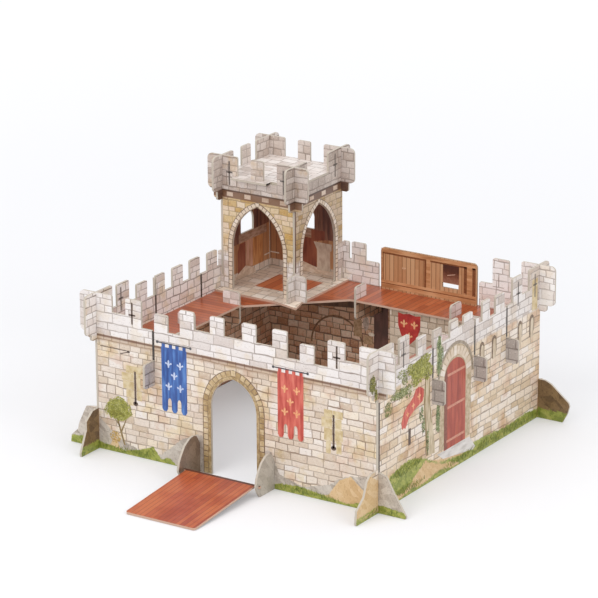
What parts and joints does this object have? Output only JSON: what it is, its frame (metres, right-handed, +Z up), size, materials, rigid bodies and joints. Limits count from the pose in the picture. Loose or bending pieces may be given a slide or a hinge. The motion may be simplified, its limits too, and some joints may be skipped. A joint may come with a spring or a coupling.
{
  "type": "card toy castle",
  "caption": "Slot-together card toy castle with battlements, a walkway on brackets, an arched corner tower and a drawbridge that swings up.",
  "frame": {"origin": "on the ground, in the middle of the rectangle formed by the middles of the four outer wall cards", "axes": "+X to the right along the front wall as seen from outside, +Y from the front wall to the back wall, +Z up"},
  "size_m": [0.55, 0.6497, 0.3475],
  "materials": {
    "pale_stone_card": "satin printed card, pale stone blocks",
    "tower_stone_card": "satin printed card, yellowish stone blocks",
    "grey_stone_card": "satin printed card, grey stone",
    "red_plank_card": "satin printed card, red planks",
    "bridge_plank_card": "satin printed card, red brown planks",
    "wood_print_card": "satin printed card, brown planks"
  },
  "bodies": {
    "castle": {"back_bracket_1": "grey_stone_card", "back_bracket_2": "grey_stone_card", "back_wall": "pale_stone_card", "front_bracket": "grey_stone_card", "front_wall": "pale_stone_card", "gate_fin_left": "grey_stone_card", "gate_fin_right": "grey_stone_card", "left_bracket_1": "grey_stone_card", "left_bracket_2": "grey_stone_card", "left_wall": "pale_stone_card", "partition": "pale_stone_card", "plank_front": "wood_print_card", "right_bracket_1": "grey_stone_card", "right_bracket_2": "grey_stone_card", "right_bracket_3": "grey_stone_card", "right_wall": "pale_stone_card", "tower_back": "tower_stone_card", "tower_collar": "red_plank_card", "tower_front": "tower_stone_card", "tower_left": "tower_stone_card", "tower_right": "tower_stone_card", "tower_roof": "tower_stone_card", "walkway_floor": "red_plank_card"},
    "bridge": {"drawbridge": "bridge_plank_card"}
  },
  "joints": [
    {"name": "drawbridge_hinge", "type": "hinge", "parent": "castle", "child": "bridge", "pos_m": [0.003, -0.2516, 0.0143], "axis": [-1, 0, 0], "range_deg": [0, 109]}
  ]
}
